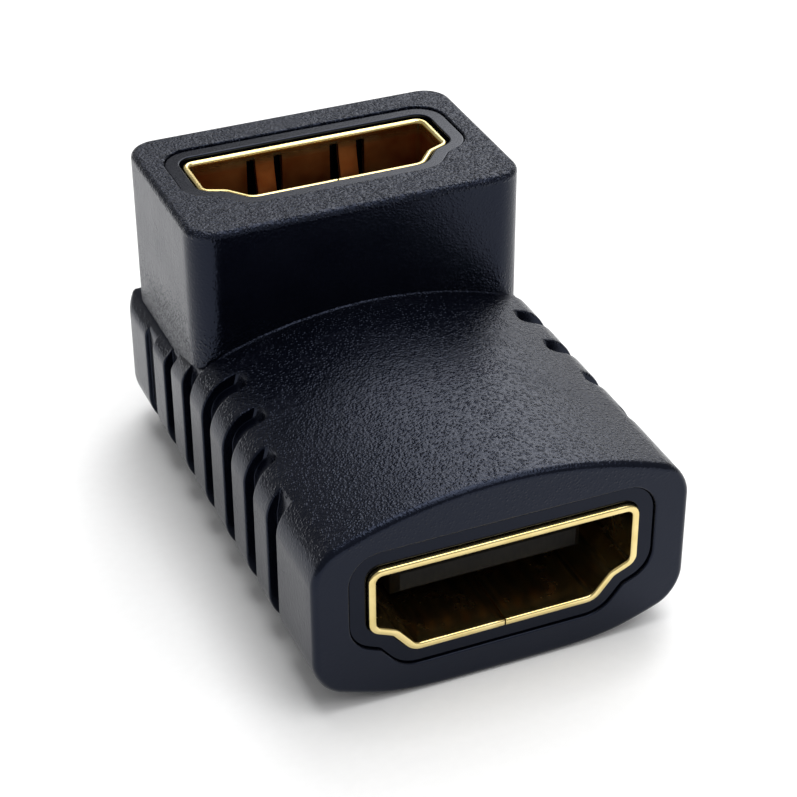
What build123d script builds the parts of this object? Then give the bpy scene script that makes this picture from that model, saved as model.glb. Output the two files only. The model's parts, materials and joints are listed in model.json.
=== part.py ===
from build123d import *
import os

# Right-angle coupler for two flat video plugs: a moulded L with a socket at each end.
# The arm lies along Y with its socket facing -Y, and the block at the back carries
# a second socket that faces up. Units are millimetres, +Z is up, and the origin is
# on the resting face, under the middle of the whole body.

# Outer form, driving sizes
housing_length = 30.9        # front end face to the back of the lower body
side_wall = 1.95             # housing beside each socket's collar, out to the ribs
port_floor = 1.875           # housing under the front collar, down to the resting face
port_roof = 2.525            # housing over the front collar, up to the top of the crown
crown_radius = 24.0          # the arm's top and bottom are arcs of this radius
belly_depth = 0.55           # how far the bottom arc is cut away to make the resting flat
arm_corner_radius = 1.4      # shoulder between the crown and the side
band_step = 0.65             # the block's sides stand this far inside the ribs
block_front_wall = 2.55      # housing in front of the upper collar
block_back_wall = 2.0
block_height = 17.86         # upper end face above the resting face
block_corner_radius = 1.6
block_setback = 0.6          # back of the block behind the back of the lower body
edge_radius = 0.35           # softened edges of the two end faces
heel_radius = 1.8            # rounded lower back edge of the elbow
lower_corner_radius = 1.8    # upright back corners of the lower body

# Grip band and its ribs
band_height = 8.5            # top of the band on the block's sides
band_slope_height = 9.7      # where the band meets the arm's shoulder
band_slope_run = 4.975       # how far behind the block's front the band has come down
band_bevel_height = 0.8
groove_count = 7
groove_pitch = 3.35
groove_width = 1.35
groove_depth = 0.6
last_groove_depth = 0.25     # the groove nearest the back is shallower
first_groove = 5.675         # front end face to the middle of the nearest groove
groove_under_run = 2.0       # how far in from the side the grooves run under the body
groove_first_run = 0.65      # the same over the shoulder, at the groove nearest the front
groove_run_step = 0.65       # each groove behind it runs this much further in
groove_most_run = 2.1
groove_end_radius = 0.5      # the grooves' ends are rounded in plan

# Sockets
open_width = 14.0            # clear opening inside the metal shell
open_height = 4.75
shoulder_run = 1.1           # small step in at the foot of the opening's straight sides
shoulder_fall = 0.48
flank_run = 1.0              # slant below it, down to the narrow wall
flank_fall = 1.21
shell_wall = 0.4
shell_rim_bevel = 0.12
mouth_bevel = 0.1            # softened mouth of the housing round each socket
front_lip = 0.15             # the front shell stands this far out of the end face
upper_sink = 0.25            # the upper shell's rim lies this far below its end face
rim_stand = 0.3              # both rims stand this far out of the collar
seam_width = 0.08
corner_radius = 0.35         # inside corners of the opening
hollow_radius = 0.9
least_radius = 0.15
foot_radius = 0.6

# Springs in the wide wall of each shell
spring_offset = 2.5
spring_width = 1.1
spring_slit = 0.5
spring_start = 0.5           # depth below the rim where the slits begin
spring_length = 4.6
spring_thickness = 0.25
spring_crest = 0.65          # share of its length at which the spring stands furthest in
spring_lift = 0.45           # how far the crest stands into the opening

# Inner mould
collar_width = 0.95
mould_back_wall = 1.3
core_margin = 0.25           # the core stands this far outside the sleeves
core_overlap = 1.5           # how far the core reaches over the back of the front sleeve
core_corner_radius = 1.2
mould_clearance = 0.02
shell_clearance = 0.05

# Insulators and contacts
tongue_margin = 0.575        # tongue beside the outermost contacts
tongue_thickness = 1.8
tongue_recess = 2.1          # rim to the tongue's tip
tongue_bevel = 0.4
base_thickness = 2.56        # insulator's base at the back of the shell
base_standoff = 0.25
insulator_clearance = 0.03
contact_count = 19           # odd ones on the wide side, even ones between them on the other
contact_pitch = 1.0          # between neighbours of one row
contact_width = 0.45
contact_thickness = 0.2
contact_start = 2.5          # rim to the contact's tip
contact_dip = 0.15           # how far the tip is bent down into the tongue
dip_length = 0.3
contact_proud = 0.05         # above the tongue's face
contact_clearance = 0.02
foot_length = 1.35           # soldered foot of the upper contacts
tail_length = 1.6            # soldered tail of the front contacts

# Circuit board
board_thickness = 1.6
board_side_wall = 0.7        # mould beside the board
board_gap = 0.1              # behind the front socket
board_back_margin = 0.4      # between the board and the back of the mould
tail_pocket_side = 0.575     # space in the mould beside the outermost tails
tail_pocket_half_height = 1.4
tail_pocket_margin = 1.0     # behind the ends of the tails

# Aids for cutting and picking
cutter_margin = 1.0          # how far a cutting shape reaches past the body
shoulder_overlap = 2.0       # how far the arm runs into the block
pick_tolerance = 0.01

# Sizes and positions worked out from the values above
half_open = open_height / 2
side_height = open_height - shoulder_fall - flank_fall
shell_half_height = half_open + shell_wall
collar_half_width = open_width / 2 + shell_wall + collar_width
collar_half_height = shell_half_height + collar_width
core_half_width = collar_half_width + core_margin
core_half_height = collar_half_height + core_margin
port_height = port_floor + collar_half_height
arm_height = port_height + collar_half_height + port_roof
body_width = 2 * (collar_half_width + side_wall)
block_width = body_width - 2 * band_step
block_depth = block_front_wall + 2 * collar_half_height + block_back_wall
front_rim_y = -(housing_length + front_lip) / 2
front_face_y = front_rim_y + front_lip
back_y = -front_rim_y
block_back_y = back_y - block_setback
block_middle_y = block_back_y - block_depth / 2
block_front_y = block_back_y - block_depth
band_slope_end_y = block_front_y + band_slope_run
upper_port_y = block_back_y - block_back_wall - collar_half_height
upper_rim_z = block_height - upper_sink
board_half = board_thickness / 2
board_top_z = port_height + board_half
board_half_width = core_half_width - board_side_wall
shell_depth = upper_rim_z - board_top_z
base_depth = shell_depth - base_standoff - base_thickness
mould_back_y = block_back_y - mould_back_wall
board_front_y = front_rim_y + shell_depth + board_gap
board_back_y = mould_back_y - board_back_margin
spring_root = shell_half_height - spring_thickness / 2
contact_height = tongue_thickness / 2 + contact_proud - contact_thickness / 2
row_width = (contact_count - 1) * contact_pitch / 2 + contact_width
tongue_width = row_width + 2 * tongue_margin

front_port = Plane(origin=(0, front_rim_y, port_height), x_dir=(1, 0, 0), z_dir=(0, -1, 0))
upper_port = Plane(origin=(0, upper_port_y, upper_rim_z), x_dir=(1, 0, 0), z_dir=(0, 0, 1))
front_end = Plane(origin=(0, front_face_y, 0), x_dir=(1, 0, 0), z_dir=(0, -1, 0))
ports = {"front": front_port, "top": upper_port}


def grown(corners, amount):
    """Moves each edge of a clockwise polygon outwards by amount and gives its new corners."""
    moved = []
    for i, corner in enumerate(corners):
        before = (corner - corners[i - 1]).normalized()
        after = (corners[(i + 1) % len(corners)] - corner).normalized()
        out_before = Vector(-before.Y, before.X)
        out_after = Vector(-after.Y, after.X)
        moved.append(corner + (out_before + out_after) * (amount / (1 + out_before.dot(out_after))))
    return moved


def port_section(grow=0.0):
    """Draws the opening on the open sketch, wide side towards +Y, grown outwards by grow."""
    half_width = open_width / 2
    shoulder_y = half_open - side_height
    right = [
        Vector(half_width, half_open),
        Vector(half_width, shoulder_y),
        Vector(half_width - shoulder_run, shoulder_y - shoulder_fall),
        Vector(half_width - shoulder_run - flank_run, -half_open),
    ]
    left = [Vector(-corner.X, corner.Y) for corner in reversed(right)]
    hollow = max(hollow_radius - grow, least_radius)
    radii = [corner_radius + grow, corner_radius + grow, hollow, foot_radius + grow]
    with BuildLine() as outline:
        FilletPolyline(*grown(right + left, grow), radius=radii + radii[::-1], close=True)
    make_face(outline.edges())


def arm_section(inset=0.0):
    """Draws the arm's crowned outline on the open sketch, shrunk inwards by inset."""
    half_width = body_width / 2
    with Locations((0, arm_height / 2)):
        Rectangle(body_width, arm_height)
    with Locations((0, arm_height - crown_radius)):
        Circle(crown_radius, mode=Mode.INTERSECT)
    with Locations((0, crown_radius - belly_depth)):
        Circle(crown_radius, mode=Mode.INTERSECT)
    sides = vertices().filter_by(lambda v: abs(v.X) > half_width - pick_tolerance)
    fillet(sides, radius=arm_corner_radius)
    if inset:
        offset(amount=-inset)


def port_prism(plane, start, end, grow, mode=Mode.ADD):
    """A prism of the opening's outline between two depths below the rim."""
    with BuildSketch(plane.offset(-start)) as outline:
        port_section(grow)
    extrude(outline.sketch, amount=-(end - start), mode=mode)


def box_between(low, high, mode=Mode.ADD):
    """A box given by its lowest and highest corners."""
    size = [b - a for a, b in zip(low, high)]
    centre = tuple((a + b) / 2 for a, b in zip(low, high))
    with Locations(centre):
        Box(*size, mode=mode)


def contact_place(number):
    """Place of a contact along the socket's width, and the side of the tongue it lies on."""
    x = ((contact_count + 1) / 2 - number) * contact_pitch / 2
    return x, 1 if number % 2 else -1


def side_plane(port, x):
    """A plane across a socket at x: its x runs down into the socket, its y to the wide side."""
    return Plane(origin=port.origin + port.x_dir * x, x_dir=-port.z_dir, z_dir=port.x_dir)


def band_bevel(side, y, height):
    """Draws the corner that is cut off the band's upper edge, on a plane across the arm at y."""
    inner, outer = block_width / 2, body_width / 2 + cutter_margin
    drop = band_bevel_height * (outer - inner) / (body_width / 2 - inner)
    with BuildSketch(front_end.offset(front_face_y - y)) as corner:
        with BuildLine():
            Polyline(
                (side * inner, height),
                (side * outer, height + cutter_margin),
                (side * outer, height - drop),
                close=True,
            )
        make_face()
    return corner.sketch


def mould_form(grow=0.0, mode=Mode.ADD):
    """The L-shaped inner moulding: a sleeve for each socket and the core that joins them."""
    sleeve = shell_wall + collar_width + grow
    core_front = front_rim_y + shell_depth - core_overlap - grow
    core_back = mould_back_y + grow
    port_prism(front_port, rim_stand, shell_depth, sleeve, mode)
    port_prism(upper_port, rim_stand, shell_depth, sleeve, mode)
    with BuildSketch(front_port.offset(front_rim_y - core_front)) as core:
        RectangleRounded(
            2 * (core_half_width + grow),
            2 * (core_half_height + grow),
            core_corner_radius + grow,
        )
    extrude(core.sketch, amount=-(core_back - core_front), mode=mode)


os.makedirs("parts", exist_ok=True)


# Lower body behind the arm: the arm's own section, cut to the band's side view and plan
with BuildPart() as lower_body:
    with BuildSketch(front_end):
        arm_section()
    extrude(amount=-housing_length)
    with BuildSketch(Plane.YZ):
        with BuildLine():
            Polyline(
                (block_front_y, 0),
                (back_y, 0),
                (back_y, band_height),
                (band_slope_end_y, band_height),
                (block_front_y, band_slope_height),
                close=True,
            )
        make_face()
        fillet(vertices().sort_by_distance((back_y, 0))[0], radius=heel_radius)
    extrude(amount=body_width, both=True, mode=Mode.INTERSECT)
    with BuildSketch(Plane.XY):
        with Locations((0, back_y - housing_length / 2)):
            RectangleRounded(body_width, housing_length, lower_corner_radius)
    extrude(amount=arm_height, mode=Mode.INTERSECT)
    for side in (-1, 1):
        loft(
            [
                band_bevel(side, back_y + cutter_margin, band_height),
                band_bevel(side, band_slope_end_y, band_height),
                band_bevel(side, block_front_y - cutter_margin, band_slope_height),
            ],
            ruled=True,
            mode=Mode.SUBTRACT,
        )
    with BuildSketch(Plane.YZ):
        with BuildLine():
            Polyline(
                (block_back_y, band_height),
                (back_y, band_height - band_bevel_height),
                (back_y + cutter_margin, band_height - band_bevel_height),
                (back_y + cutter_margin, band_height + cutter_margin),
                (block_back_y, band_height + cutter_margin),
                close=True,
            )
        make_face()
    extrude(amount=body_width, both=True, mode=Mode.SUBTRACT)

# Grip grooves: slots with round ends, cut down to a section of the arm inside its skin
grooves = []
for index in range(groove_count):
    middle_y = front_face_y + first_groove + index * groove_pitch
    far_wall = middle_y + groove_width / 2
    over_shoulder = min(groove_most_run, groove_first_run + index * groove_run_step)
    top_run = over_shoulder if far_wall < block_front_y else band_step
    depth = last_groove_depth if index == groove_count - 1 else groove_depth
    with BuildPart() as groove:
        for low, run in ((0, groove_under_run), (arm_height / 2, top_run)):
            with BuildSketch(Plane.XY.offset(low)):
                for side in (-1, 1):
                    with Locations((side * (body_width - run), middle_y)):
                        RectangleRounded(body_width, groove_width, groove_end_radius)
                    with Locations((side * (body_width - band_step), middle_y)):
                        Rectangle(body_width, groove_width)
            extrude(amount=arm_height / 2)
        with BuildSketch(front_end.offset(front_face_y - far_wall)):
            arm_section(depth)
        extrude(amount=groove_width, mode=Mode.SUBTRACT)
    grooves.append(groove.part)

# Outer overmoulding
with BuildPart() as outer_housing:
    with BuildSketch(front_end):
        arm_section()
    extrude(amount=-(block_front_y + shoulder_overlap - front_face_y))
    fillet(faces().sort_by(Axis.Y)[0].edges(), radius=edge_radius)
    add(lower_body.part)
    with BuildSketch(Plane.XY.offset(heel_radius)):
        with Locations((0, block_middle_y)):
            RectangleRounded(block_width, block_depth, block_corner_radius)
    extrude(amount=block_height - heel_radius)
    fillet(faces().sort_by(Axis.Z)[-1].edges(), radius=edge_radius)
    for groove in grooves:
        add(groove, mode=Mode.SUBTRACT)
    mould_form(mould_clearance, Mode.SUBTRACT)
    for port, depth in ((front_port, front_lip), (upper_port, -upper_sink)):
        port_prism(port, depth, rim_stand, shell_wall + collar_width + mould_clearance, Mode.SUBTRACT)
        end_face = outer_housing.faces().sort_by(Axis(port.origin, port.z_dir))[-1]
        chamfer(end_face.inner_wires()[0].edges(), length=mouth_bevel)
outer_housing.part.label = "outer_housing"
export_step(outer_housing.part, "parts/outer_housing.step")

# Inner moulding, cast round both sockets and the board
with BuildPart() as inner_mould:
    mould_form()
    for port in ports.values():
        port_prism(port, 0, shell_depth, shell_wall + shell_clearance, Mode.SUBTRACT)
    box_between(
        (-board_half_width - mould_clearance, board_front_y, port_height - board_half - mould_clearance),
        (board_half_width + mould_clearance, board_back_y + mould_clearance, board_top_z),
        Mode.SUBTRACT,
    )
    pocket_half_width = row_width / 2 + tail_pocket_side
    pocket_front = front_rim_y + shell_depth - mould_clearance
    pocket_back = board_front_y + tail_length + tail_pocket_margin
    box_between(
        (-pocket_half_width, pocket_front, port_height - tail_pocket_half_height),
        (pocket_half_width, pocket_back, port_height + tail_pocket_half_height),
        Mode.SUBTRACT,
    )
inner_mould.part.label = "inner_mould"
export_step(inner_mould.part, "parts/inner_mould.step")

# Circuit board that joins the two sockets
with BuildPart() as circuit_board:
    box_between(
        (-board_half_width, board_front_y + mould_clearance, port_height - board_half),
        (board_half_width, board_back_y, board_top_z),
    )
circuit_board.part.label = "circuit_board"
export_step(circuit_board.part, "parts/circuit_board.step")

# Metal shells: a folded sleeve with a butt seam and two springs in its wide wall
for name, port in ports.items():
    with BuildPart() as shell:
        port_prism(port, 0, shell_depth, shell_wall)
        port_prism(port, 0, shell_depth, 0, Mode.SUBTRACT)
        rim_face = shell.faces().sort_by(Axis(port.origin, port.z_dir))[-1]
        chamfer(rim_face.edges(), length=shell_rim_bevel)
        with BuildSketch(port):
            with Locations((0, -half_open - shell_wall / 2)):
                Rectangle(seam_width, 2 * shell_wall)
        extrude(amount=-shell_depth, mode=Mode.SUBTRACT)
        for x in (-spring_offset, spring_offset):
            with BuildSketch(port.offset(-spring_start)):
                with Locations((x, half_open + shell_wall / 2)):
                    Rectangle(spring_width + 2 * spring_slit, 2 * shell_wall)
            extrude(amount=-(spring_length + spring_slit), mode=Mode.SUBTRACT)
            with BuildSketch(side_plane(port, x)):
                with BuildLine():
                    Polyline(
                        (spring_start - spring_thickness, spring_root),
                        (spring_start + spring_thickness, spring_root),
                        (spring_start + spring_length * spring_crest, spring_root - spring_lift),
                        (spring_start + spring_length, spring_root - spring_lift / 2),
                    )
                trace(line_width=spring_thickness)
            extrude(amount=spring_width / 2, both=True)
    shell.part.label = name + "_shell"
    export_step(shell.part, "parts/" + name + "_shell.step")

# Insulators: a base that fills the back of the shell and the tongue that holds the contacts
for name, port in ports.items():
    with BuildPart() as insulator:
        with BuildSketch(port.offset(-tongue_recess)):
            Rectangle(tongue_width, tongue_thickness)
        extrude(amount=-(base_depth - tongue_recess + insulator_clearance))
        tip = insulator.faces().sort_by(Axis(port.origin, port.z_dir))[-1]
        chamfer(tip.edges(), length=tongue_bevel)
        port_prism(port, base_depth, shell_depth - base_standoff, -insulator_clearance)
        numbers = range(1, contact_count + 1)
        slot_start = contact_start - contact_thickness / 2
        for depth, reach, drop in (
            (slot_start, shell_depth, 0),
            (slot_start, contact_start + dip_length, contact_dip),
        ):
            with BuildSketch(port.offset(-depth)) as slots:
                for x, side in map(contact_place, numbers):
                    with Locations((x, side * (contact_height - drop / 2))):
                        Rectangle(
                            contact_width + 2 * contact_clearance,
                            contact_thickness + 2 * contact_clearance + drop,
                        )
            extrude(slots.sketch, amount=-(reach - depth), mode=Mode.SUBTRACT)
    insulator.part.label = name + "_insulator"
    export_step(insulator.part, "parts/" + name + "_insulator.step")

# Contacts: stamped strips that lie in the tongue's slots and end on the board
front_tail = [
    (shell_depth - base_standoff, contact_height),
    (shell_depth + board_gap, board_half + contact_thickness / 2),
    (shell_depth + board_gap + tail_length, board_half + contact_thickness / 2),
]
foot_depth = shell_depth - contact_thickness / 2
top_foot = [(foot_depth, contact_height), (foot_depth, contact_height + foot_length)]
for name, tail in (("front", front_tail), ("top", top_foot)):
    nose = [
        (contact_start, contact_height - contact_dip),
        (contact_start + dip_length, contact_height),
    ]
    for number in range(1, contact_count + 1):
        x, side = contact_place(number)
        with BuildPart() as contact:
            with BuildSketch(side_plane(ports[name], x)):
                with BuildLine():
                    Polyline(*[(depth, side * height) for depth, height in nose + tail])
                trace(line_width=contact_thickness)
            extrude(amount=contact_width / 2, both=True)
        contact.part.label = f"{name}_contact_{number:02d}"
        export_step(contact.part, f"parts/{name}_contact_{number:02d}.step")
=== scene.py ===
# %% [markdown]
# # A right-angle coupler for two flat video plugs
#
# The real part is an L of black PVC, moulded round two gilt metal sockets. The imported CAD
# model is the frame: it says where every piece is, and this lesson dresses it. The big soft
# forms are made anew as fine smooth surfaces, because a CAD mesh has only as many facets as
# its size needs. The small flat pieces keep their CAD mesh and only get a real finish.

# %% Load the frame
import json
import math

import bpy
import numpy as np
from mathutils import Matrix, Vector

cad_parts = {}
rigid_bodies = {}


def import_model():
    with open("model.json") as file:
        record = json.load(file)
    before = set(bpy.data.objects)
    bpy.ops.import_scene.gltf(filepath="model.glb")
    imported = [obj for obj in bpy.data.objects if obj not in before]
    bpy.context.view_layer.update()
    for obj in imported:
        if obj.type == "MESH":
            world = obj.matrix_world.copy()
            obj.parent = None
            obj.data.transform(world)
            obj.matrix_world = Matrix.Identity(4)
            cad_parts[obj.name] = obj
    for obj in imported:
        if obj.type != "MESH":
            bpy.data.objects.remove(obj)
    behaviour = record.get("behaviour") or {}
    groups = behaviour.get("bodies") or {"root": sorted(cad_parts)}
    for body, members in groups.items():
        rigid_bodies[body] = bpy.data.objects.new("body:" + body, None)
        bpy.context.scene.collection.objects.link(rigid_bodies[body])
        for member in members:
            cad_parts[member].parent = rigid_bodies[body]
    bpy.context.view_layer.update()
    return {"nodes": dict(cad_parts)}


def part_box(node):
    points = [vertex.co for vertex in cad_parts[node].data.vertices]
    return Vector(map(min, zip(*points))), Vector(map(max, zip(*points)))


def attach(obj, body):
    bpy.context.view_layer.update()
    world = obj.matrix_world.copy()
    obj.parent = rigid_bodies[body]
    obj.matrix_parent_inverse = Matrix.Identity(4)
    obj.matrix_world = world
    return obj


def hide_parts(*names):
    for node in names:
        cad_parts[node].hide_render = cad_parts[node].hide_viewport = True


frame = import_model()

MM = 0.001

# %% [markdown]
# ## The camera
#
# The photo's camera stood close to the part, so the near socket looks larger than the far
# one. Its place was worked out from the corners of both metal rims, whose real size is
# known. A long lens further away would match the outline less well, so the distance is kept.

# %% Place the camera
camera_place = Vector((-39.2, -94.885, 74.28))
yaw, pitch, roll = np.radians([22.82, 33.14, -0.29])

camera_data = bpy.data.cameras.new("camera")
camera_data.sensor_width, camera_data.lens = 36.0, 100.93
camera_data.clip_start, camera_data.clip_end = 0.005, 20.0
camera = bpy.data.objects.new("camera", camera_data)
bpy.context.scene.collection.objects.link(camera)
bpy.context.scene.camera = camera

ahead = np.array([math.sin(yaw) * math.cos(pitch), math.cos(yaw) * math.cos(pitch), -math.sin(pitch)])
level = np.array([math.cos(yaw), -math.sin(yaw), 0.0])
upright = np.cross(level, ahead)
right = level * math.cos(roll) + upright * math.sin(roll)
up = upright * math.cos(roll) - level * math.sin(roll)
facing = Matrix(np.column_stack([right, up, -ahead]).tolist()).to_4x4()
camera.matrix_world = Matrix.Translation(camera_place * MM) @ facing
print("camera is", round(camera.location.length / MM, 1), "mm from the origin")

# %% [markdown]
# ## Putting computed surfaces into meshes
#
# Most new shapes below are a stack of closed rings, all with the same number of points. One
# function turns such a stack into a skin: it joins each ring to the next with quads and
# shuts both ends with a fan round a middle point, so there are no holes. Working on whole
# arrays keeps it quick, and the sign of the enclosed volume tells if the faces must be turned.

# %% A skin from a stack of rings
def signed_volume(points, quads):
    """Sum over each quad's two triangles of corner . (corner x corner) / 6. It is positive if the faces
    point outwards."""
    a, b, c, d = (points[quads[:, i]] for i in range(4))
    return (np.einsum("ij,ij->i", a, np.cross(b, c)) + np.einsum("ij,ij->i", a, np.cross(c, d))).sum() / 6


def ring_faces(rows, columns):
    """Quads between neighbouring rings: each joins point j of a ring to point j + 1, and the last point
    to the first."""
    start = np.arange(rows - 1)[:, None] * columns
    here, following = np.arange(columns), (np.arange(columns) + 1) % columns
    near = [start + here, start + following]
    far = [start + following + columns, start + here + columns]
    return np.stack(near + far, -1).reshape(-1, 4)


def closed_stack(rings):
    """Points and faces of a closed skin: the rings joined in turn, and a middle point that shuts each
    end. A fan's triangle is kept as a quad that names the middle point twice."""
    rows, columns = rings.shape[:2]
    points = np.concatenate([rings.reshape(-1, 3), rings[0].mean(0)[None], rings[-1].mean(0)[None]])
    here, following = np.arange(columns), (np.arange(columns) + 1) % columns
    first_middle, last_middle = np.full(columns, rows * columns), np.full(columns, rows * columns + 1)
    last = (rows - 1) * columns
    first_fan = np.stack([following, here, first_middle, first_middle], -1)
    last_fan = np.stack([last + here, last + following, last_middle, last_middle], -1)
    faces = np.concatenate([ring_faces(rows, columns), first_fan, last_fan])
    if signed_volume(points, faces) < 0:
        faces = faces[:, ::-1]
    return points, faces


square = np.array([[-1.0, -1.0], [1.0, -1.0], [1.0, 1.0], [-1.0, 1.0]])
cube = closed_stack(np.array([np.column_stack([square, np.full(4, z)]) for z in (-1.0, 1.0)]))
print("a 2 mm cube, made and measured this way, holds", round(float(signed_volume(*cube)), 3), "mm3")

# %% A Blender object from points and faces
def mesh_object(name, skins, attributes=None):
    """One object from several (points, faces) pairs in mm, with smooth shading and named point
    attributes. A corner that is named twice in a row is dropped, which leaves a triangle."""
    starts = np.cumsum([0] + [len(points) for points, faces in skins])
    points = np.concatenate([points for points, faces in skins]) * MM
    loops = []
    for start, (_, faces) in zip(starts, skins):
        loops += [[p for i, p in enumerate(face) if p != face[i - 1]] for face in (faces + start).tolist()]
    mesh = bpy.data.meshes.new(name)
    mesh.from_pydata(points.tolist(), [], loops)
    mesh.polygons.foreach_set("use_smooth", np.ones(len(mesh.polygons), bool))
    for key, values in (attributes or {}).items():
        layer = mesh.attributes.new(key, "FLOAT", "POINT")
        layer.data.foreach_set("value", np.asarray(values, np.float32))
    mesh.update()
    piece = bpy.data.objects.new(name, mesh)
    bpy.context.scene.collection.objects.link(piece)
    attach(piece, "root")
    print(f"{name}: {len(mesh.vertices)} points, {sum(len(loop) - 2 for loop in loops)} triangles")
    return piece


def box_mm(node):
    """A CAD node's lowest and highest corners in mm, to a thousandth."""
    return [np.round(np.array(corner) / MM, 3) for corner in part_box(node)]


print("the CAD housing in mm:", [corner.tolist() for corner in box_mm("outer_housing")])

# %% [markdown]
# ## The outline of a socket
#
# Both sockets have the same outline: wide on one side, with two small steps down to a
# narrower side, so that a plug goes in only one way round. It is a polygon with rounded
# corners. The same outline, moved outwards by different amounts, gives the metal wall, the
# collar of the inner mould and the mouth of the outer skin, so it is one function.

# %% The sockets' sizes and places
open_width, open_height, side_height = 14.0, 4.75, 3.06
shoulder_run, shoulder_drop, flank_run = 1.1, 0.48, 1.0
wide_corner, shoulder_corner, narrow_corner, sharpest = 0.35, 0.9, 0.6, 0.15
shell_wall, collar_width, mould_gap = 0.4, 0.95, 0.02

front_box, upper_box = box_mm("front_shell"), box_mm("top_shell")
front_rim_y, upper_rim_z = front_box[0][1], upper_box[1][2]
port_height = (front_box[0][2] + front_box[1][2]) / 2
upper_port_y = (upper_box[0][1] + upper_box[1][1]) / 2
shell_depth = front_box[1][1] - front_rim_y
print("front socket at height", port_height, "and upper socket at y", upper_port_y)

# %% The outline as points
def across(vectors):
    """Each 2-D vector turned a quarter turn to the left."""
    return np.stack([-vectors[..., 1], vectors[..., 0]], -1)


def socket_polygon(grow):
    """The socket's eight corners with each edge moved outwards by grow, and the directions into and out
    of each. A corner moves by the sum of its edges' normals x grow / (1 + their dot product)."""
    wide, half = open_width / 2, open_height / 2
    shoulder, step = half - side_height, wide - shoulder_run
    run = np.array([
        [wide, half], [wide, shoulder], [step, shoulder - shoulder_drop], [step - flank_run, -half]])
    corners = np.concatenate([run, run[::-1] * [-1, 1]])
    into = corners - np.roll(corners, 1, 0)
    into /= np.linalg.norm(into, axis=1)[:, None]
    out = np.roll(into, -1, 0)
    before, after = across(into), across(out)
    return corners + (before + after) * (grow / (1 + (before * after).sum(1)))[:, None], into, out


def socket_outline(grow=0.0, steps=8):
    """The moved polygon with round corners. An arc starts radius x tan(half the turn) before its corner
    and is start + radius x (sin a, 1 - cos a) in the corner's own axes. The shoulder is hollow, so its
    arc shrinks."""
    corners, into, out = socket_polygon(grow)
    hollow = max(shoulder_corner - grow, sharpest)
    radius = np.array([wide_corner + grow, wide_corner + grow, hollow, narrow_corner + grow])
    radius = np.concatenate([radius, radius[::-1]])
    bend = np.arctan2(into[:, 0] * out[:, 1] - into[:, 1] * out[:, 0], (into * out).sum(1))
    start = corners - into * (radius * np.tan(np.abs(bend) / 2))[:, None]
    swing = np.abs(bend)[:, None] * np.linspace(0, 1, steps)
    along = into[:, None] * np.sin(swing)[..., None]
    inwards = (across(into) * np.sign(bend)[:, None])[:, None] * (1 - np.cos(swing))[..., None]
    return (start[:, None] + radius[:, None, None] * (along + inwards)).reshape(-1, 2)


rim = socket_outline(shell_wall)
print("metal rim in mm:", np.ptp(rim, axis=0).round(2), "in", len(rim), "points")

# %% [markdown]
# ## The outer skin
#
# The skin is soft moulded PVC. No edge on it is sharp: the ends are rounded a little, the
# back corners more, and the grip grooves have rolled lips. Boxes with modifiers could not
# follow all of this, but one formula can. A field gives each point its distance outside the
# ideal form, and rounded corners, grooves and the ledge each change that distance.

# %% Fields and how they are joined
def ease(t):
    """Nought before 0 and one after 1, with the curve 3t^2 - 2t^3 between them."""
    t = np.clip(t, 0, 1)
    return t * t * (3 - 2 * t)


def rounded_corner(a, b, radius):
    """The corner where fields a and b meet, rounded: the larger of the two, and inside the radius the
    length of (a + radius, b + radius) less the radius."""
    beyond = np.hypot(np.maximum(a + radius, 0), np.maximum(b + radius, 0))
    return np.minimum(np.maximum(a, b), -radius) + beyond


def end_inset(distance, radius):
    """How far a side has drawn in at a distance from an end that is rounded by a quarter circle."""
    short = radius - np.clip(distance, 0, radius)
    return radius - np.sqrt(np.maximum(radius**2 - short**2, 0))


print("a 1 mm rounding takes", round(float(rounded_corner(0.0, 0.0, 1.0)), 3), "mm off a square corner")

# %% [markdown]
# ### The arm and the block
#
# Seen from the front, the arm has flat sides, a slightly domed top called the crown, and a
# belly that is cut flat where the part stands. The block over it is narrower, so a ledge
# shows at both sides and at the back.

# %% The arm's section
housing_low, housing_high = box_mm("outer_housing")
front_y, back_y = housing_low[1], housing_high[1]
body_half, block_top = housing_high[0], housing_high[2]
crown_top, crown_radius, belly = 11.85, 24.0, 0.55
arm_corner, sole_corner = 1.4, 0.6
end_edge, back_corner = 0.35, 1.8

block_step, block_setback, block_depth, block_corner = 0.65, 0.6, 12.0, 1.6
block_half, block_back = body_half - block_step, back_y - block_setback
block_front = block_back - block_depth


def arm_section(x, z):
    """Distance outside the arm's section: two flat sides, a crown and a belly that are arcs of a large
    radius, and a flat to stand on."""
    side = np.abs(x) - body_half
    crown = np.hypot(x, z - (crown_top - crown_radius)) - crown_radius
    under = np.hypot(x, z - (crown_radius - belly)) - crown_radius
    form = np.maximum(rounded_corner(side, crown, arm_corner), rounded_corner(side, under, arm_corner))
    return rounded_corner(form, -z, sole_corner)


print("block in mm: x +-", block_half.round(3), "and y", block_front.round(3), "to", block_back.round(3))

# %% [markdown]
# ### The grip grooves
#
# Seven grooves on each side give the fingers hold. Their lips are rolled and their walls
# steep. Over the shoulder each groove runs further in than the one before it, until the
# block stops them, and the rearmost groove is shallow. They could be cut with boxes, but
# each lip would then need its own bevel. As a depth in the field they come out soft at once.

# %% Grip grooves
groove_count, first_groove, groove_pitch = 7, 5.675, 3.35
groove_half, groove_depth, last_depth, lip = 0.675, 0.6, 0.25, 0.12
wall_run, end_run, end_start = 0.05, 0.3, 0.35
plan_radius, plan_share = groove_half + 0.1, 0.7
# How far the grooves run in from the side: over the shoulder, and under the body
first_run, run_step, longest_run, run_spare, under_run = 0.65, 0.65, 2.1, 0.2, 2.0
# The furthest out an end may begin, so that the floor on the flat side keeps its depth
full_from = 9.48
groove_middles = front_y + first_groove + groove_pitch * np.arange(groove_count)


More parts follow.
